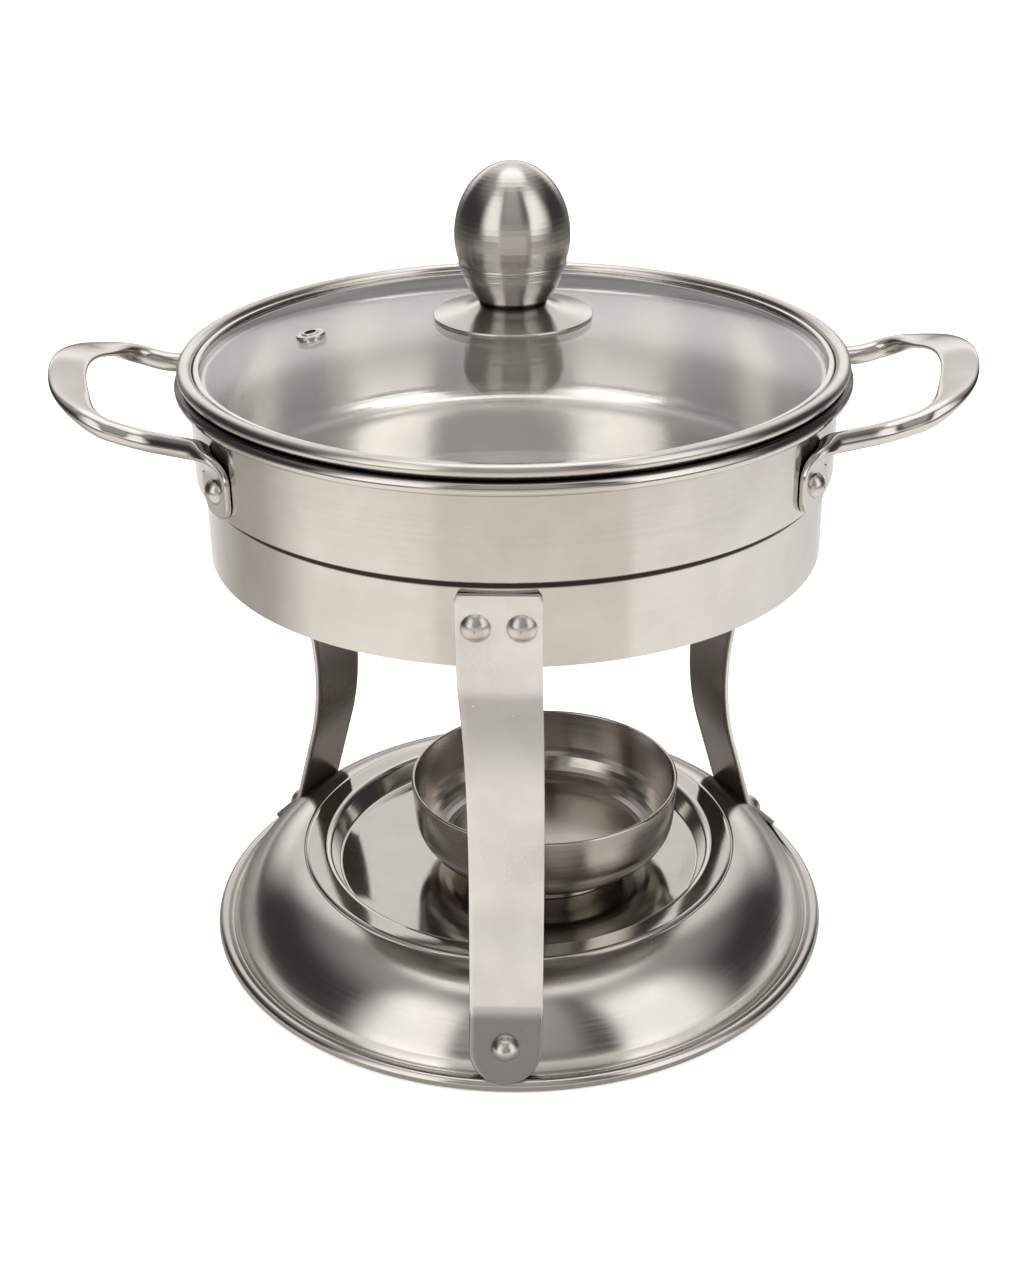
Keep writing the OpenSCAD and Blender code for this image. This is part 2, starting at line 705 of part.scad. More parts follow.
// Collar between glass and knob: a concave flare that stands on its edge
module knob_collar() {
  hem = knob_sheet / 2;
  hem_x = collar_r - hem;
  hem_z = dome_height(hem_x, dome_r + hem);
  flare = outline([
    [[hem_x, hem_z + hem], 0, 1],
    [[neck_r + 3.6, apex_z + 2.2], 14, 8],
    [[neck_r, collar_top], 0.9, 4],
    [[screw_d / 2, collar_top], 0, 1]
  ]);
  color([0.66, 0.60, 0.55]) rotate_extrude() {
    polygon(strip(flare, knob_sheet));
    translate([hem_x, hem_z]) circle(r = hem, $fn = 32);
  }
}

// Lower cup of the knob, with a floor that sits on the collar
module knob_lower_shell() {
  wall = concat(
    outline([
      [[screw_d / 2, collar_top], 0, 1],
      [[cup_r, collar_top], 2, 5],
      [egg(-cup_turn, knob_low), 0, 1]
    ]),
    [for (i = [1:8]) egg(mix(-cup_turn, seam_past - seam_turn, i / 8), knob_low)]
  );
  color([0.62, 0.60, 0.57]) rotate_extrude() {
    intersection() {
      polygon(strip(wall, knob_sheet));
      translate([0, apex_z]) square([knob_r + 1, seam_z - apex_z]);
    }
    seam_ring(-1);
  }
}

// Upper cap of the knob
module knob_upper_shell() {
  wall = concat(
    [for (i = [0:5]) egg(mix(-seam_past - seam_turn, 0, i / 5), knob_low)],
    [for (i = [1:20]) egg(90 * i / 20, knob_top)]
  );
  color([0.64, 0.62, 0.60]) rotate_extrude() {
    intersection() {
      polygon(strip(wall, knob_sheet));
      translate([0, seam_z]) square([knob_r + 1, knob_top + seam_drop + 1]);
    }
    seam_ring(1);
  }
}

// Half-round bead along the seam, above it or below it
module seam_ring(s) {
  mid = egg(-asin((seam_drop - s * seam_bead) / knob_low), knob_low);
  translate([mid[0] - seam_bead / 2, mid[1]]) circle(r = seam_bead, $fn = 32);
}

// Threaded bush fixed in the lower cup
module knob_insert() {
  color([0.55, 0.54, 0.50]) translate([0, 0, collar_top + knob_sheet]) difference() {
    cylinder(d = insert_d, h = insert_h);
    translate([0, 0, -1]) cylinder(d = screw_d, h = insert_h + 2);
  }
}

// Screw from below the glass, with a slotted round head
module knob_screw() {
  color([0.60, 0.60, 0.58]) {
    translate([0, 0, head_z - eps]) cylinder(d = screw_d, h = collar_top + insert_h - head_z);
    difference() {
      translate([0, 0, head_z]) rotate([0, 90, 0]) domed_head(screw_head, head_h);
      translate([-screw_head, -slot_d / 2, head_z - head_h - 1]) cube([2 * screw_head, slot_d, 2]);
    }
  }
}

module knob_washer() {
  color([0.70, 0.70, 0.68]) translate([0, 0, head_z]) difference() {
    cylinder(d = washer_d - 2, h = washer_t);
    translate([0, 0, -1]) cylinder(d = screw_d, h = washer_t + 2);
  }
}

// Soft gasket: a flange under the glass and a sleeve through its hole
module knob_gasket() {
  color([0.25, 0.25, 0.25]) rotate_extrude() polygon([
    [screw_d / 2, washer_z],
    [washer_d / 2, washer_z],
    [washer_d / 2, dome_height(washer_d / 2, dome_in)],
    [glass_hole / 2, dome_height(glass_hole / 2, dome_in)],
    [glass_hole / 2, dome_height(glass_hole / 2, dome_r)],
    [screw_d / 2, dome_height(glass_hole / 2, dome_r)]
  ]);
}

base_tray();
front_leg();
left_leg();
right_leg();
stand_ring();
front_leg_rivets();
left_leg_rivets();
right_leg_rivets();
burner_bowl();
water_pan();
left_handle();
right_handle();
left_handle_rivets();
right_handle_rivets();
food_pan();
lid_glass();
lid_band();
steam_vent();
knob_collar();
knob_lower_shell();
knob_upper_shell();
knob_insert();
knob_screw();
knob_washer();
knob_gasket();
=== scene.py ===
import json
import math

import bpy
from mathutils import Matrix, Vector

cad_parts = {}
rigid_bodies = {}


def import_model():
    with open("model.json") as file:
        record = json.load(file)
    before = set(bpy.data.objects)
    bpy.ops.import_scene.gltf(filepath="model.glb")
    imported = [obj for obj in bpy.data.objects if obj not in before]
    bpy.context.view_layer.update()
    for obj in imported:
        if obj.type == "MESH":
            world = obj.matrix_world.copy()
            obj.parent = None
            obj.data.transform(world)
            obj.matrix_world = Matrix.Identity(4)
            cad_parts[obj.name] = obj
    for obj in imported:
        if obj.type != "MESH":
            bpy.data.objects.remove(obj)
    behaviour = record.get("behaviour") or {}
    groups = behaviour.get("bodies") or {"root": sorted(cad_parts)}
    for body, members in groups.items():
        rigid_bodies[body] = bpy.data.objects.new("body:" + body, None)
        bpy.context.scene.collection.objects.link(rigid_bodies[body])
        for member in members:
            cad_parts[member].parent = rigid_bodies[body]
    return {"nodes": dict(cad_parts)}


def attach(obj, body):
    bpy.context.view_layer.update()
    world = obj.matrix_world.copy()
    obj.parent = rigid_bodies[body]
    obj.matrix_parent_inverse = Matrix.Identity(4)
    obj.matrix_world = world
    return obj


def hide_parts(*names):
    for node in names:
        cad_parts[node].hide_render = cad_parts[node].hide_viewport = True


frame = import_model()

nodes = frame["nodes"]
for thing in list(bpy.data.objects):
    if thing.name in ("Cube", "Light", "Camera"):
        bpy.data.objects.remove(thing, do_unlink=True)
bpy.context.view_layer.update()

scene = bpy.context.scene
scene.view_settings.view_transform = "Standard"

# Camera: angles in degrees
CAMERA_AT = (0.0, -0.5999, 0.4059)
CAMERA_DOWN = 26.23
CAMERA_ROLL = -0.6
CAMERA_LENS = 53.0
CAMERA_SENSOR = 36.0
CAMERA_SHIFT_X = -0.0035

cam_data = bpy.data.cameras.new("camera")
cam_data.sensor_fit = "VERTICAL"
cam_data.sensor_height = CAMERA_SENSOR
cam_data.lens = CAMERA_LENS
cam_data.shift_x = CAMERA_SHIFT_X
cam_data.clip_start = 0.01
cam = bpy.data.objects.new("camera", cam_data)
cam.matrix_world = (
    Matrix.Translation(CAMERA_AT)
    @ Matrix.Rotation(math.radians(90 - CAMERA_DOWN), 4, "X")
    @ Matrix.Rotation(math.radians(CAMERA_ROLL), 4, "Z")
)
scene.collection.objects.link(cam)
scene.camera = cam


def rgba(colour):
    return (*colour, 1.0)


class Tree:
    """A material's or world's node tree, with short calls for its nodes and links."""

    def __init__(self, owner):
        owner.use_nodes = True
        self.owner = owner
        self.tree = owner.node_tree
        self.tree.nodes.clear()

    def node(self, kind, inputs=None, **settings):
        made = self.tree.nodes.new(kind)
        for key, value in settings.items():
            setattr(made, key, value)
        for key, value in (inputs or {}).items():
            if isinstance(value, bpy.types.NodeSocket):
                self.tree.links.new(value, made.inputs[key])
            else:
                made.inputs[key].default_value = value
        return made

    def math(self, operation, a, b=0.0):
        return self.node("ShaderNodeMath", {0: a, 1: b}, operation=operation).outputs[0]

    def times(self, first, *others):
        for other in others:
            first = self.math("MULTIPLY", first, other)
        return first

    def plus(self, first, *others):
        for other in others:
            first = self.math("ADD", first, other)
        return first

    def dot(self, a, b):
        made = self.node("ShaderNodeVectorMath", {0: a, 1: b}, operation="DOT_PRODUCT")
        return made.outputs["Value"]

    def parts(self, vector):
        """The vector's X, Y and Z outputs."""
        return self.node("ShaderNodeSeparateXYZ", {0: vector}).outputs

    def place(self):
        return self.node("ShaderNodeTexCoord").outputs["Object"]

    def level(self):
        """The place without its height, which points away from the upright axis."""
        made = self.node(
            "ShaderNodeVectorMath", {0: self.place(), 1: (1, 1, 0)}, operation="MULTIPLY"
        )
        return made.outputs[0]

    def radius(self):
        """Distance from the object's upright axis."""
        made = self.node("ShaderNodeVectorMath", {0: self.level()}, operation="LENGTH")
        return made.outputs["Value"]

    def stretched(self, scale):
        made = self.node("ShaderNodeMapping", {"Vector": self.place(), "Scale": scale})
        return made.outputs[0]

    def noise(self, vector, scale, detail=2.0, roughness=0.5):
        made = self.node(
            "ShaderNodeTexNoise",
            {"Vector": vector, "Scale": scale, "Detail": detail, "Roughness": roughness},
        )
        return made.outputs["Fac"]

    def line_noise(self, value, scale, detail):
        made = self.node(
            "ShaderNodeTexNoise",
            {"W": value, "Scale": scale, "Detail": detail},
            noise_dimensions="1D",
        )
        return made.outputs["Fac"]

    def span(self, value, low, high, start, end, kind="LINEAR"):
        """Passage from low at start to high at end, and level beyond."""
        made = self.node(
            "ShaderNodeMapRange",
            {"Value": value, "From Min": start, "From Max": end, "To Min": low, "To Max": high},
            interpolation_type=kind,
        )
        return made.outputs[0]

    def soft(self, value, start, end, low=0.0, high=1.0):
        """Smooth passage from low at start to high at end."""
        return self.span(value, low, high, start, end, "SMOOTHSTEP")

    def window(self, value, opening, closing):
        """1 between two smooth passages, each given by the values where it starts and ends."""
        return self.times(self.soft(value, *opening), self.soft(value, *closing, 1.0, 0.0))

    def bearing(self, vector):
        """Direction round the object in degrees: 0 towards the camera, positive to the right."""
        part = self.parts(vector)
        ahead = self.math("MULTIPLY", part["Y"], -1.0)
        return self.times(self.math("ARCTAN2", part["X"], ahead), 180 / math.pi)

    def ramp(self, value, stops):
        made = self.node("ShaderNodeValToRGB", {"Fac": value})
        marks = made.color_ramp.elements
        while len(marks) < len(stops):
            marks.new(0.5)
        for mark, (place, colour) in zip(marks, stops):
            mark.position = place
            mark.color = rgba(colour)
        return made.outputs["Color"]

    def blend(self, factor, a, b):
        """Colour a where the factor is 0, b where it is 1."""
        made = self.node("ShaderNodeMix", {"Factor": factor, "A": a, "B": b}, data_type="RGBA")
        return made.outputs["Result"]

    def bump(self, height, strength, depth, normal=None):
        inputs = {"Strength": strength, "Distance": depth, "Height": height}
        if normal:
            inputs["Normal"] = normal
        return self.node("ShaderNodeBump", inputs).outputs[0]

    def glow(self, colour, strength):
        made = self.node("ShaderNodeEmission", {"Color": colour, "Strength": strength})
        return made.outputs[0]

    def ray(self, kind):
        return self.node("ShaderNodeLightPath").outputs[kind]

    def either(self, factor, a, b):
        """Shader a where the factor is 0, b where it is 1."""
        return self.node("ShaderNodeMixShader", {0: factor, 1: a, 2: b}).outputs[0]

    def out(self, shader):
        world = isinstance(self.owner, bpy.types.World)
        kind = "ShaderNodeOutputWorld" if world else "ShaderNodeOutputMaterial"
        self.node(kind, {"Surface": shader})


STEEL = (0.62, 0.595, 0.56)
STEEL_DARK = (0.53, 0.51, 0.48)
SEAM_PAINTED_SHADE = (0.03, 0.026, 0.022)
# Marks of wear: how many to the metre, how rugged, and the part of the noise that shows
PATCHES, SMEARS, MARK_ROUGHNESS = 22.0, 70.0, 0.6
WEAR_SHOWN, GLOSS_SHOWN = (0.35, 0.65), (0.3, 0.7)
WEAR_DARKENS = 0.75
LINE_LENGTH, LINE_GLOSS, LINE_DETAIL, LINE_DEPTH = 8, 0.02, 3.0, 0.0002
LEVEL_LENGTH = 6
WAVE_DEPTH = 0.004
BRIGHT_ROUGH, BRIGHT_IN, BRIGHT_OUT = 0.09, 0.001, 0.003
FACING_OUT, FACING_IN = 0.01, -0.02
QUARTER_TURN = 0.25


def steel(name, rough, lines, line_scale, line_bump, cloud, tint=STEEL, shade=STEEL_DARK,
          smear=0.4, metal=1.0, wave=0.0, wave_scale=0.0, brushed=0.0, bright_to=0.0,
          painted_shade_heights=None, painted_shade=SEAM_PAINTED_SHADE, inside=None):
    """Stainless steel with its polishing lines, cloudy wear and a slight unevenness of the sheet.

    brushed is how far the lines, which run round the upright axis, stretch a reflection across
    them. bright_to is the radius within which the piece is polished bright. painted_shade_heights
    is the pair of heights between which the clean steel passes into painted_shade, a dark colour
    painted as the shade in a seam or under a bend. inside is a painted shade for faces turned to
    the axis.
    """
    t = Tree(bpy.data.materials.new(name))
    if lines == "level":
        around = t.stretched((LEVEL_LENGTH, LEVEL_LENGTH, line_scale))
        streak = t.noise(around, 1.0, LINE_DETAIL)
    elif lines == "turned":
        streak = t.line_noise(t.radius(), line_scale, LINE_DETAIL)
    elif lines == "upright":
        streak = t.noise(t.stretched((line_scale, line_scale, LINE_LENGTH)), 1.0, LINE_DETAIL)
    else:
        streak = t.noise(t.place(), line_scale, LINE_DETAIL)
    patches = t.noise(t.place(), PATCHES, 3.0, MARK_ROUGHNESS)
    smears = t.noise(t.place(), SMEARS, 4.0, MARK_ROUGHNESS)
    wear = t.plus(t.times(patches, 1 - smear), t.times(smears, smear))
    colour = t.blend(t.span(wear, 0.0, WEAR_DARKENS, *WEAR_SHOWN), rgba(tint), rgba(shade))
    # Painted shade: past the given heights the colour passes into a dark one that stands for the
    # shade in a seam or under a bend.
    if painted_shade_heights:
        colour = t.blend(t.soft(t.parts(t.place())["Z"], *painted_shade_heights), colour, rgba(painted_shade))
    # Painted shade: faces turned towards the axis take the darker colour given.
    if inside:
        outward = t.dot(t.node("ShaderNodeTexCoord").outputs["Normal"], t.level())
        colour = t.blend(t.soft(outward, FACING_OUT, FACING_IN), colour, rgba(inside))
    gloss = t.plus(
        t.span(wear, rough - cloud, rough + cloud, *GLOSS_SHOWN),
        t.span(streak, -LINE_GLOSS, LINE_GLOSS, *GLOSS_SHOWN),
    )
    if bright_to:
        edge = (bright_to - BRIGHT_IN, bright_to + BRIGHT_OUT)
        gloss = t.plus(gloss, t.soft(t.radius(), *edge, BRIGHT_ROUGH - rough, 0.0))
    normal = t.bump(streak, line_bump, LINE_DEPTH)
    if wave:
        normal = t.bump(t.noise(t.place(), wave_scale, 1.0), wave, WAVE_DEPTH, normal)
    skin = t.node(
        "ShaderNodeBsdfPrincipled",
        {"Base Color": colour, "Metallic": metal, "Roughness": gloss, "Normal": normal},
    )
    if brushed:
        skin.inputs["Anisotropic"].default_value = brushed
        skin.inputs["Anisotropic Rotation"].default_value = QUARTER_TURN
        around = t.node("ShaderNodeTangent", direction_type="RADIAL", axis="Z")
        t.tree.links.new(around.outputs[0], skin.inputs["Tangent"])
    t.out(skin.outputs[0])
    return t.owner


def glass(name):
    """Clear tempered glass, which light passes through to the pan, with a faint film on it."""
    t = Tree(bpy.data.materials.new(name))
    body = t.node(
        "ShaderNodeBsdfPrincipled",
        {
            "Base Color": rgba((0.97, 0.975, 0.97)),
            "Roughness": t.span(t.noise(t.place(), 30.0, 3.0), 0.0, 0.03, 0.4, 0.7),
            "IOR": 1.46,
            "Transmission Weight": 1.0,
        },
    )
    clear = t.node("ShaderNodeBsdfTransparent", {"Color": rgba((0.9, 0.92, 0.91))})
    t.out(t.either(t.ray("Is Shadow Ray"), body.outputs[0], clear.outputs[0]))
    return t.owner


def rubber(name):
    """Translucent grey silicone of the gasket."""
    t = Tree(bpy.data.materials.new(name))
    speck = t.noise(t.place(), 900.0, 3.0)
    shown = t.span(speck, 0.0, 1.0, *WEAR_SHOWN)
    skin = t.node(
        "ShaderNodeBsdfPrincipled",
        {
            "Base Color": t.blend(shown, rgba((0.30, 0.30, 0.29)), rgba((0.38, 0.38, 0.37))),
            "Roughness": 0.45,
            "Normal": t.bump(speck, 0.1, 0.0001),
        },
    )
    t.out(skin.outputs[0])
    return t.owner


# Steels: roughness, way and number of the polishing lines, their bump, and the clouds' range
# Painted shade at seams: the top of the water pan's rim, the ring's top under the water pan, the
# foot of the knob's cup, and the straps' feet below their lower bend.
wall_steel = steel("wall_steel", 0.15, "level", 900.0, 0.02, 0.03,
                   brushed=0.5, painted_shade_heights=(0.2124, 0.2131))
ring_steel = steel("ring_steel", 0.15, "level", 900.0, 0.02, 0.03,
                   brushed=0.5, painted_shade_heights=(0.1776, 0.1783))
pan_steel = steel("pan_steel", 0.23, "turned", 900.0, 0.03, 0.04, brushed=0.7)
spun_steel = steel("spun_steel", 0.19, "turned", 1600.0, 0.015, 0.04,
                   brushed=0.5, bright_to=0.079)
bead_steel = steel("bead_steel", 0.11, "grain", 700.0, 0.02, 0.03)
# The straps' faces turned to the axis take painted shade.
strap_steel = steel("strap_steel", 0.25, "upright", 500.0, 0.008, 0.05,
                    tint=(0.70, 0.68, 0.65), shade=(0.50, 0.48, 0.45), smear=0.15, metal=0.62,
                    wave=0.25, wave_scale=26.0, painted_shade_heights=(0.0225, 0.0190),
                    painted_shade=(0.25, 0.24, 0.225), inside=(0.20, 0.175, 0.145))
rivet_steel = steel("rivet_steel", 0.28, "grain", 900.0, 0.03, 0.04)
bowl_steel = steel("bowl_steel", 0.20, "level", 1100.0, 0.03, 0.05,
                   tint=(0.60, 0.57, 0.53), shade=(0.48, 0.45, 0.41), brushed=0.5)
rod_steel = steel("rod_steel", 0.15, "grain", 500.0, 0.02, 0.04)
knob_steel = steel("knob_steel", 0.22, "level", 2600.0, 0.06, 0.03,
                   brushed=0.8, painted_shade_heights=(0.2360, 0.2349))
collar_steel = steel("collar_steel", 0.20, "turned", 1600.0, 0.03, 0.04, brushed=0.7)
lid_clear = glass("lid_clear")
gasket_rubber = rubber("gasket_rubber")

FINISH = {
    "base_tray": spun_steel,
    "burner_bowl": bowl_steel,
    "stand_ring": ring_steel,
    "water_pan": wall_steel,
    "food_pan": pan_steel,
    "lid_band": bead_steel,
    "lid_glass": lid_clear,
    "knob_gasket": gasket_rubber,
    "steam_vent": rivet_steel,
    "knob_collar": collar_steel,
}
for name, thing in nodes.items():
    if name in FINISH:
        finish = FINISH[name]
    elif name.endswith("_rivets"):
        finish = rivet_steel
    elif name.endswith("_leg"):
        finish = strap_steel
    elif name.endswith("_handle"):
        finish = rod_steel
    else:
        finish = knob_steel
    thing.material_slots[0].material = finish


# Shapes that replace the plainest solids; sizes in millimetres
MM = 0.001


def unit(v):
    return v / v.length


def ease(s):
    s = max(0.0, min(1.0, s))
    return s * s * (3 - 2 * s)


def between(a, b, s):
    return a + (b - a) * s


def bezier(a, b, c, d, steps):
    made = []
    for i in range(steps + 1):
        s = i / steps
        r = 1 - s
        made.append(a * r ** 3 + b * 3 * r * r * s + c * 3 * r * s * s + d * s ** 3)
    return made


def corner(a, b, c, radius, steps):
    """Points of the arc that rounds corner b between a and c."""
    u, v = unit(a - b), unit(c - b)
    half = math.acos(max(-1, min(1, u.dot(v)))) / 2
    mid = b + unit(u + v) * radius / math.sin(half)
    e = unit(b + u * radius / math.tan(half) - mid)
    f = unit(b + v * radius / math.tan(half) - mid)
    g = unit(f - e * e.dot(f))
    turn = math.pi - 2 * half
    return [
        mid + radius * (e * math.cos(turn * i / steps) + g * math.sin(turn * i / steps))
        for i in range(steps + 1)
    ]


def outline(points):
    """Open outline through corner points, each one (point, radius, steps)."""
    made = []
    for i, (point, radius, steps) in enumerate(points):
        if i in (0, len(points) - 1) or radius == 0:
            made.append(point)
        else:
            made += corner(points[i - 1][0], point, points[i + 1][0], radius, steps)
    return made


def new_piece(name, verts, faces, finish, body, replaced, sharp):
    """sharp is the angle in degrees from which an edge shades as a crease."""
    mesh = bpy.data.meshes.new(name)
    mesh.from_pydata([tuple(v * MM) for v in verts], [], faces)
    mesh.validate()
    for face in mesh.polygons:
        face.use_smooth = True
    mesh.set_sharp_from_angle(angle=math.radians(sharp))
    mesh.materials.append(finish)
    piece = bpy.data.objects.new(name, mesh)
    scene.collection.objects.link(piece)
    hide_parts(*replaced)
    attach(piece, body)
    return piece


def tube_faces(rings, around):
    """Faces of a closed tube of rings, each of so many points round it, and its two ends."""
    faces = []
    for i in range(rings - 1):
        for k in range(around):
            a, b = i * around + k, i * around + (k + 1) % around
            faces.append((a, b, b + around, a + around))
    faces.append(tuple(range(around))[::-1])
    faces.append(tuple(range((rings - 1) * around, rings * around)))
    return faces


# Handles: one rod each, forged flat at the grip and at both tabs
PAN_R = 106.6
SHOULDER_Z = 180.5
TAB_W, TAB_T, TAB_GRIND, TAB_TURN = 18.0, 2.0, 0.2, math.radians(30.5)
TAB_RIVET = SHOULDER_Z + 9.2
TAB_BELOW = 8.0
TAB_TIP, TAB_ROUND, TAB_CROWD = 0.3, 0.16, 1.6
ARM_Z = TAB_RIVET + 12.5
ARM_BEND = 8.0
ROD_D = 6.7
NECK = Vector((PAN_R + 11.6, -37.8, ARM_Z - 1.6))
NECK_BEND = 25.0
SWEEP = Vector((PAN_R + 32.4, -37.8, NECK.z + 7.3))
GRIP = Vector((PAN_R + 39.6, 0, NECK.z + 14.2))
GRIP_STRAIGHT = 17.0
GRIP_W, GRIP_T, GRIP_TILT = 12.3, 3.0, math.radians(11)
GRIP_FROM, GRIP_OVER, GRIP_SQUARE = 0.12, 0.5, 0.25
WALL_PLAY, WALL_REACH = 0.02, 30
TAB_RINGS, ARM_RINGS, RUN_RINGS, NECK_RINGS, GRIP_RINGS = 25, 24, 10, 16, 60
RING_POINTS = 48


def handle_stations():
    """Half a handle, from its tab's lower end to the grip's middle.

    Each station is (centre, width, thickness, normal, roundness).
    """
    out = Vector((math.cos(TAB_TURN), -math.sin(TAB_TURN), 0))
    down = Vector((0, 0, -1))
    grip_normal = Vector((math.sin(GRIP_TILT), 0, -math.cos(GRIP_TILT)))
    foot = out * (PAN_R + TAB_T / 2 - TAB_GRIND)
    foot.z = TAB_RIVET - TAB_BELOW
    bend = Vector((foot.x, foot.y, ARM_Z))
    run = ARM_Z - ARM_BEND - foot.z
    made = []
    for i in range(TAB_RINGS):
        s = (i / TAB_RINGS) ** TAB_CROWD
        arch = math.sqrt(1 - (1 - min(1, 2 * s)) ** 2)
        width = TAB_W * between(TAB_TIP, 1, arch)
        made.append((foot + Vector((0, 0, s * run)), width, TAB_T, out, TAB_ROUND))
    for i, point in enumerate(corner(foot, bend, NECK, ARM_BEND, ARM_RINGS)):
        s = i / ARM_RINGS
        f = ease(s)
        made.append((point, between(TAB_W, ROD_D, f), between(TAB_T, ROD_D, f),
                     out.lerp(down, s), between(TAB_ROUND, 1, f)))
    neck = corner(bend, NECK, SWEEP, NECK_BEND, NECK_RINGS)
    arm_end = made[-1][0]
    run_on = [arm_end.lerp(neck[0], i / RUN_RINGS) for i in range(1, RUN_RINGS)]
    made += [(point, ROD_D, ROD_D, down, 1.0) for point in run_on + neck]
    aim = Vector((GRIP.x, -GRIP_STRAIGHT, GRIP.z))
    for i, point in enumerate(bezier(neck[-1], SWEEP, aim, GRIP, GRIP_RINGS)[1:]):
        f = ease(((i + 1) / GRIP_RINGS - GRIP_FROM) / GRIP_OVER)
        made.append((point, between(ROD_D, GRIP_W, f), between(ROD_D, GRIP_T, f),
                     down.lerp(grip_normal, f), 1 - GRIP_SQUARE * f))
    return made


def handle(side):
    """side is 1 for the right handle and -1 for the left one."""
    half = handle_stations()
    over = [
        (Vector((c.x, -c.y, c.z)), w, t, Vector((n.x, -n.y, n.z)), k) for c, w, t, n, k in half
    ]
    bar = half + over[-2::-1]
    wall = PAN_R + WALL_PLAY
    verts = []
    for i, (centre, width, thick, normal, power) in enumerate(bar):
        if i < TAB_RINGS:
            way = Vector((0, 0, 1))
        elif i >= len(bar) - TAB_RINGS:
            way = Vector((0, 0, -1))
        else:
            way = unit(bar[i + 1][0] - bar[i - 1][0])
        wide = unit(way.cross(normal))
        deep = way.cross(wide)
        for k in range(RING_POINTS):
            a = (k + 0.5) * 2 * math.pi / RING_POINTS
            u, v = math.cos(a), math.sin(a)
            u = math.copysign(abs(u) ** power, u) * width / 2
            v = math.copysign(abs(v) ** power, v) * thick / 2
            point = centre + wide * u + deep * v
            flat = math.hypot(point.x, point.y)
            if flat < wall and point.z < SHOULDER_Z + WALL_REACH:
                point = Vector((point.x * wall / flat, point.y * wall / flat, point.z))
            verts.append(Vector((side * point.x, point.y, point.z)))
    faces = tube_faces(len(bar), RING_POINTS)
    if side < 0:
        faces = [face[::-1] for face in faces]
    name = "right" if side > 0 else "left"
    return new_piece(name + "_handle_forged", verts, faces, rod_steel, "water_bath",
                     [name + "_handle"], 50)


handle(1)
handle(-1)


# Legs: bent straps with softened edges, which lie on the base's flank at the foot
RING_TOP = 180.2
LEG_FACE = PAN_R - 2.8 + 2.0
LEG_T, LEG_W, LEG_FOOT_W, LEG_DROP = 2.0, 26.0, 24.0, 3.7
LEG_TOP_BEND, LEG_WAIST, LEG_FOOT_BEND, LEG_TIP = 147.6, (75.2, 91.5), 21.5, 11.6
FLANK = math.radians(45)
FLANK_N = Vector((math.sin(FLANK), math.cos(FLANK)))
FLANK_K = FLANK_N.dot(Vector((112.0 - 2.0, 2.0))) + 2.0 + 0.12
LEG_TURNS = {"front": -92.8, "right": 27.2, "left": 147.2}
LEG_EDGE, LEG_EDGE_CUT = 0.5, 0.145
LEG_TOP_ROUND, LEG_FOOT_ROUND, LEG_TIP_HALF = 0.9, LEG_FOOT_W / 2 + 0.15, 0.9
LEG_STEP, LEG_ACROSS = 1.5, 12


def flank_r(z, lift):
    """Radius of the flank at height z, raised by lift."""
    return (FLANK_K + lift - z * FLANK_N.y) / FLANK_N.x


def leg_face():
    """The strap's outer face from the ring down to the foot's tip, in close steps."""
    down_flank = Vector((math.cos(FLANK), -math.sin(FLANK)))
    tip = Vector((flank_r(LEG_TIP, 0), LEG_TIP)) + FLANK_N * LEG_T + down_flank * LEG_FOOT_W / 2
    face = outline([
        (Vector((LEG_FACE, RING_TOP - LEG_DROP)), 0, 1),
        (Vector((LEG_FACE, LEG_TOP_BEND)), 36, 40),
        (Vector(LEG_WAIST), 100, 64),
        (Vector((flank_r(LEG_FOOT_BEND, LEG_T), LEG_FOOT_BEND)), 7, 14),
        (tip, 0, 1),
    ])
    dense = [face[0]]
    for a, b in zip(face, face[1:]):
        count = max(1, int((b - a).length / LEG_STEP))
        dense += [a.lerp(b, i / count) for i in range(1, count + 1)]
    return dense


def leg_half_width(height, gone, left):
    """gone and left are the lengths of strap above and below."""
    half = LEG_FOOT_W / 2 + (LEG_W - LEG_FOOT_W) / 2 * height / RING_TOP
    if gone < LEG_TOP_ROUND:
        half += -LEG_TOP_ROUND + math.sqrt(LEG_TOP_ROUND ** 2 - (LEG_TOP_ROUND - gone) ** 2)
    if left < LEG_FOOT_ROUND:
        round_end = LEG_FOOT_ROUND ** 2 - (LEG_FOOT_ROUND - left) ** 2
        half = min(half, math.sqrt(max(0.0, round_end)))
    return max(half, LEG_TIP_HALF)


def leg_section(half):
    """Points round the strap: (across, depth), with softened edges."""
    edge, cut = LEG_EDGE, LEG_EDGE_CUT
    face = [-half + edge + (2 * half - 2 * edge) * j / LEG_ACROSS for j in range(LEG_ACROSS + 1)]
    side = [(half - cut, cut), (half, edge), (half, LEG_T - edge), (half - cut, LEG_T - cut)]
    return (
        [(u, 0.0) for u in face]
        + side
        + [(u, LEG_T) for u in reversed(face)]
        + [(-u, v) for u, v in reversed(side)]
    )


def leg(name, turn):
    """turn is the leg's place round the axis in degrees."""
    face = leg_face()
    total = sum((b - a).length for a, b in zip(face, face[1:]))
    c, s = math.cos(math.radians(turn)), math.sin(math.radians(turn))
    gone, verts = 0.0, []
    for i, p in enumerate(face):
        if i:
            gone += (p - face[i - 1]).length
        along = unit(face[min(i + 1, len(face) - 1)] - face[max(i - 1, 0)])
        inward = Vector((along.y, -along.x))
        if inward.x > 0:
            inward = -inward
        for u, v in leg_section(leg_half_width(p.y, gone, total - gone)):
            q = p + inward * v
            verts.append(Vector((q.x * c - u * s, q.x * s + u * c, q.y)))
    faces = tube_faces(len(face), len(verts) // len(face))
    return new_piece(name + "_leg_strap", verts, faces, strap_steel, "stand",
                     [name + "_leg"], 55)


for name, turn in LEG_TURNS.items():
    leg(name, turn)


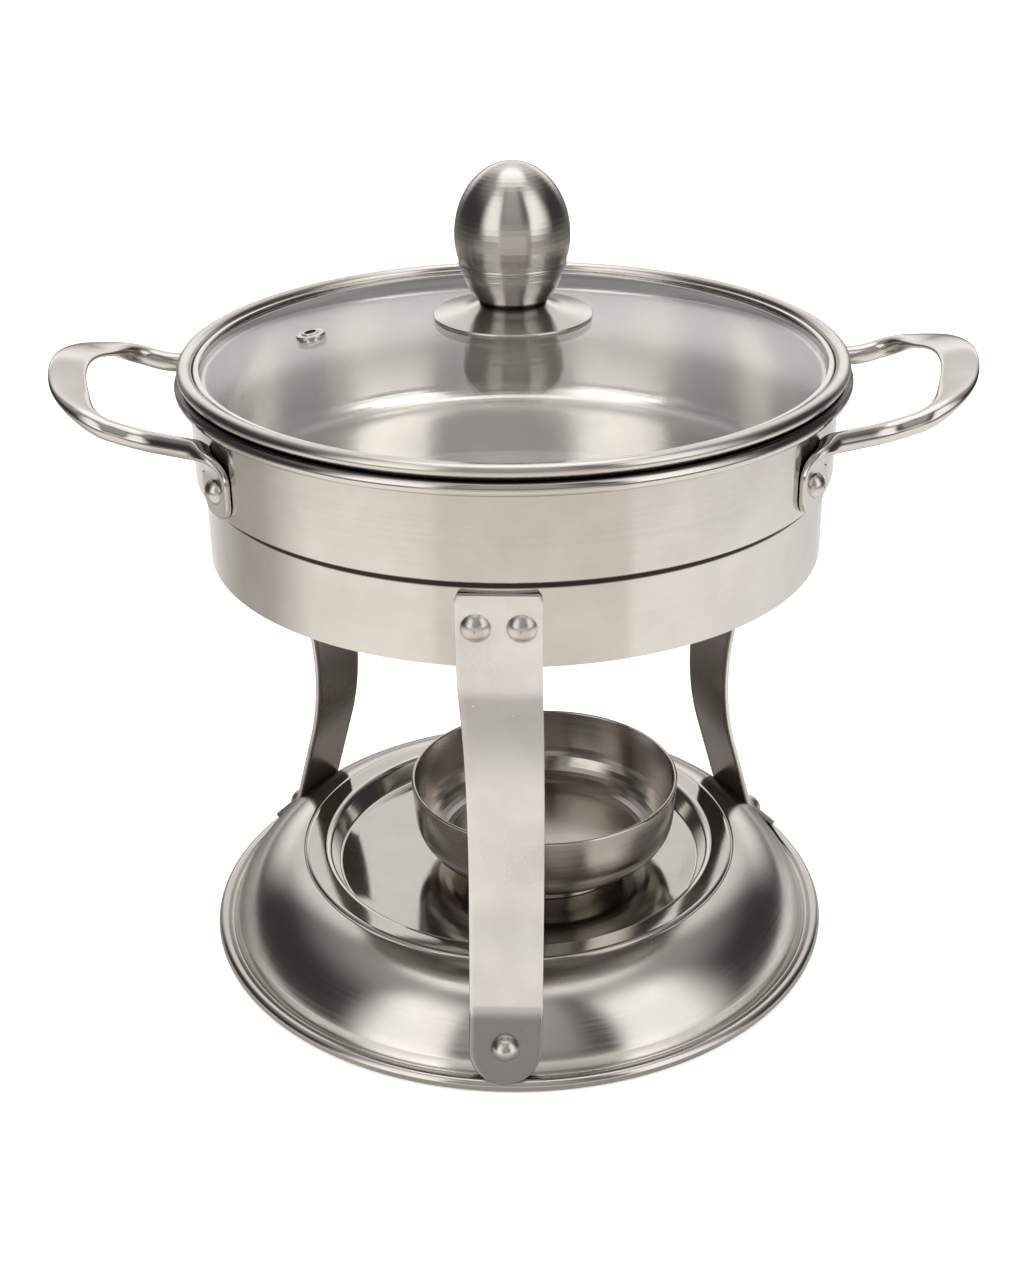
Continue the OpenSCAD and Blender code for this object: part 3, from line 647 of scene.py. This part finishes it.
def rz(r, z):
    """Point of an outline that is turned about the upright axis."""
    return Vector((r, z))


def beside(line, distance):
    """The line moved sideways by distance, to the right of its way."""
    made = []
    for i, p in enumerate(line):
        way = unit(line[min(i + 1, len(line) - 1)] - line[max(i - 1, 0)])
        made.append(p + Vector((way.y, -way.x)) * distance)
    return made


def revolved(name, outer, inner, turns, finish, body, replaced, sharp):
    """Closed sheet turned about the upright axis; both outlines start on the axis."""
    profile = outer[1:] + inner[:0:-1]
    count = len(profile)
    verts, faces = [], []
    for k in range(turns):
        a = 2 * math.pi * k / turns
        verts += [Vector((p.x * math.cos(a), p.x * math.sin(a), p.y)) for p in profile]
    for k in range(turns):
        m = (k + 1) % turns
        for i in range(count - 1):
            faces.append((k * count + i, k * count + i + 1, m * count + i + 1, m * count + i))
    for row, flip, height in ((0, False, outer[0].y), (count - 1, True, inner[0].y)):
        centre = len(verts)
        verts.append(Vector((0, 0, height)))
        for k in range(turns):
            m = (k + 1) % turns
            tri = (centre, k * count + row, m * count + row)
            faces.append(tri[::-1] if flip else tri)
    return new_piece(name, verts, faces, finish, body, replaced, sharp)


# Base: spun in one go, with a bright land, a rounded ring and a swelling flank
BASE_R, BASE_SHEET, BASE_TURNS = 112.8, 1.0, 360
BASE_BEAD, BEAD_FROM, BEAD_TURN, BEAD_STEPS = 2.35, 148, 238, 24
BASE_LIP_R = 104.5
LAND_Z = 22.3
LAND_RINGS = (0, 8, 20, 34, 48, 58)


def base():
    land = [rz(r, LAND_Z) for r in LAND_RINGS]
    well = outline([
        (rz(62, LAND_Z), 0, 1),
        (rz(66.6, LAND_Z), 1.2, 5),
        (rz(70.2, 29.8), 3.2, 12),
        (rz(78.6, 29.6), 2.4, 8),
        (rz(79.2, 28.9), 0, 1),
    ])
    flank = bezier(rz(79.6, 29.1), rz(92.0, 27.5), rz(100.9, 17.8), rz(105.7, 7.4), 44)
    bead = rz(BASE_R - BASE_BEAD, BASE_BEAD)
    rim = outline([
        (rz(105.8, 7.1), 0, 1),
        (rz(107.3, 2.9), 0.7, 5),
        (bead + rz(-2.0, 1.2), 0, 1),
    ])
    for i in range(BEAD_STEPS + 1):
        a = math.radians(BEAD_FROM - BEAD_TURN * i / BEAD_STEPS)
        rim.append(bead + rz(math.cos(a), math.sin(a)) * BASE_BEAD)
    rim.append(rz(BASE_LIP_R, 0.0))
    top = land + well + flank + rim
    under = beside(top, BASE_SHEET)
    under[0] = rz(0, under[0].y)
    return revolved("spun_base", top, under, BASE_TURNS, spun_steel, "stand",
                    ["base_tray"], 40)


base()


# Knob: the lower cup swells up from its floor, with two fine seam beads under its edge
COLLAR_TOP = 234.42
KNOB_SHEET, CUP_TURNS = 0.8, 180
SEAM_BEADS, SEAM_BEAD = (246.0, 243.6), 0.32


def on_collar(r, z):
    return rz(r, COLLAR_TOP + z)


def knob_cup():
    floor_edge = outline([
        (on_collar(0, 0), 0, 1),
        (on_collar(11.6, 0), 1.6, 10),
        (on_collar(13.6, 2.8), 0, 1),
    ])
    flank = bezier(on_collar(13.68, 2.92), on_collar(15.3, 5.3),
                   on_collar(16.4, 8.6), on_collar(17.17, 12.2), 120)
    smooth = floor_edge + flank
    outside = []
    for p in smooth:
        swell = 0.0
        for z in SEAM_BEADS:
            if abs(p.y - z) < SEAM_BEAD:
                swell += math.sqrt(SEAM_BEAD ** 2 - (p.y - z) ** 2)
        outside.append(rz(p.x + swell, p.y))
    inside = beside(smooth, -KNOB_SHEET)
    inside[0] = on_collar(0, KNOB_SHEET)
    return revolved("knob_cup", inside, outside, CUP_TURNS, knob_steel, "lid",
                    ["knob_lower_shell"], 40)


knob_cup()


# Floor: white paper. What the steel mirrors of it is a painted glow, toned by direction round the
# object from behind on the left, over the front in the middle, to behind on the right, and
# darkened by painted shadow close to the object and behind it
FLOOR_HALF, FLOOR_DOWN = 4.0, 0.0003
FLOOR_TONES = (
    (0.00, (0.78, 0.78, 0.78)),
    (0.11, (0.70, 0.69, 0.67)),
    (0.20, (0.38, 0.36, 0.33)),
    (0.25, (0.44, 0.41, 0.38)),
    (0.31, (0.98, 0.94, 0.88)),
    (0.40, (1.00, 0.96, 0.90)),
    (0.427, (0.98, 0.93, 0.87)),
    (0.433, (0.83, 0.77, 0.71)),
    (0.597, (0.80, 0.74, 0.68)),
    (0.605, (0.98, 0.95, 0.90)),
    (0.75, (0.92, 0.90, 0.86)),
    (0.88, (0.64, 0.64, 0.63)),
    (1.00, (0.78, 0.78, 0.78)),
)
FLOOR_MIRRORED, FLOOR_BRIGHT = 0.9, 1.25
WHITE = (1.0, 1.0, 1.0)


def floor_material():
    """The camera sees the paper lit up to white, with the object's shadow kept."""
    t = Tree(bpy.data.materials.new("floor_paper"))
    fleck = t.blend(t.noise(t.place(), 40.0), rgba((0.90, 0.90, 0.895)), rgba((0.92, 0.92, 0.915)))
    paper = t.node("ShaderNodeBsdfDiffuse", {"Color": fleck}).outputs[0]
    lift = t.glow(rgba(WHITE), t.span(t.radius(), 0.40, 0.75, 0.15, 0.50))
    seen = t.node("ShaderNodeAddShader", {0: paper, 1: lift}).outputs[0]
    bearing = t.bearing(t.place())
    turned = t.math("ABSOLUTE", bearing)
    # Painted shadow in the mirrored glow: darker close to the object and behind it.
    near = t.soft(t.radius(), 0.125, 0.17, 0.40, 1.0)
    far = t.soft(t.radius(), 0.55, 1.0, 1.0, 0.12)
    ahead = t.soft(turned, 22, 36, 0.70, 0.0)
    shadow = t.times(t.soft(turned, 100, 135), t.soft(t.radius(), 0.20, 0.34, 0.75, 0.0))
    light = t.times(near, t.math("SUBTRACT", 1.0, shadow), t.math("MAXIMUM", far, ahead))
    tone = t.ramp(t.span(bearing, 0.0, 1.0, -180, 180), FLOOR_TONES)
    mirrored = t.either(FLOOR_MIRRORED, paper, t.glow(tone, t.times(light, FLOOR_BRIGHT)))
    others = t.either(t.ray("Is Glossy Ray"), paper, mirrored)
    t.out(t.either(t.ray("Is Camera Ray"), others, seen))
    return t.owner


floor_mesh = bpy.data.meshes.new("floor")
corners = [(x * FLOOR_HALF, y * FLOOR_HALF, 0) for x, y in ((-1, -1), (1, -1), (1, 1), (-1, 1))]
floor_mesh.from_pydata(corners, [], [(0, 1, 2, 3)])
floor = bpy.data.objects.new("floor", floor_mesh)
floor.location.z = -FLOOR_DOWN
floor_mesh.materials.append(floor_material())
scene.collection.objects.link(floor)

# Room: strengths of its lights as the steel mirrors them
LIGHT_BOXES = 1.4
BEHIND, LOW_BEHIND = 0.85, 0.45
OVERHEAD, SIDES, FRONT = 1.2, 0.36, 0.42
LOW_STRIP = 0.75
ROOM_DIM = 0.05
ROOM_TINT = (1.0, 0.985, 0.965)


def room(world):
    """A tall light box on either side of the dark middle, a pale strip low down in front, a field
    behind that brightens upwards, and softer light from above, the sides and the front.

    Bearings and rises are in degrees.
    """
    t = Tree(world)
    facing = t.node("ShaderNodeTexCoord").outputs["Generated"]
    way = t.parts(facing)
    bearing = t.bearing(facing)
    turned = t.math("ABSOLUTE", bearing)
    rise = t.times(t.math("ARCSINE", way["Z"]), 180 / math.pi)
    left = t.window(bearing, (-72, -50), (-30, -23))
    right = t.window(bearing, (34, 41), (62, 92))
    boxes = t.times(t.plus(left, right), t.window(rise, (-4, 6), (42, 68)), LIGHT_BOXES)
    back = t.soft(turned, 128, 158)
    upper = t.times(t.soft(rise, 2, 20, 0.25, 1.0), t.soft(rise, 60, 78, 1.0, 0.2))
    behind = t.times(back, upper, BEHIND)
    low_behind = t.times(back, t.window(rise, (3, 8), (20, 27)), LOW_BEHIND)
    above = t.times(t.soft(t.dot(facing, (0, 0.10, 0.995)), 0.88, 0.955), OVERHEAD)
    sides = t.times(t.soft(turned, 24, 62, 0.12, 1.0), t.soft(rise, 26, 58), SIDES)
    front = t.times(t.soft(turned, 14, 32, 1.0, 0.0), t.window(rise, (12, 18), (60, 80)), FRONT)
    low_front = t.times(t.soft(way["Y"], -0.7, -0.4, 1.0, 0.0), t.soft(rise, 3, 14, 1.0, 0.0))
    strip = t.times(low_front, LOW_STRIP)
    light = t.plus(boxes, behind, low_behind, above, sides, front, strip, ROOM_DIM)
    mirrored = t.node("ShaderNodeBackground", {"Color": rgba(ROOM_TINT), "Strength": light})
    white = t.node("ShaderNodeBackground", {"Color": rgba(WHITE), "Strength": 1.0})
    t.out(t.either(t.ray("Is Camera Ray"), mirrored.outputs[0], white.outputs[0]))


scene.world = bpy.data.worlds.new("room")
room(scene.world)

LAMP_AIM, LAMP_DISTANCE = Vector((0, 0, 0.14)), 1.25


def softbox(name, azimuth, elevation, size, power):
    """A lamp aimed at the object; azimuth 0 is the camera's side, positive to the right."""
    lamp = bpy.data.lights.new(name, "AREA")
    lamp.shape = "RECTANGLE"
    lamp.size, lamp.size_y = size
    lamp.energy = power
    a, e = math.radians(azimuth), math.radians(elevation)
    way = Vector((math.sin(a) * math.cos(e), -math.cos(a) * math.cos(e), math.sin(e)))
    made = bpy.data.objects.new(name, lamp)
    made.location = LAMP_AIM + way * LAMP_DISTANCE
    made.rotation_euler = way.to_track_quat("Z", "Y").to_euler()
    made.visible_glossy = False  # the room's light boxes are what the steel mirrors
    scene.collection.objects.link(made)


softbox("left_box", -47, 33, (0.85, 1.35), 8.7)
softbox("right_box", 55, 33, (0.70, 1.35), 7.1)
softbox("top_box", 180, 74, (1.1, 0.9), 3.0)
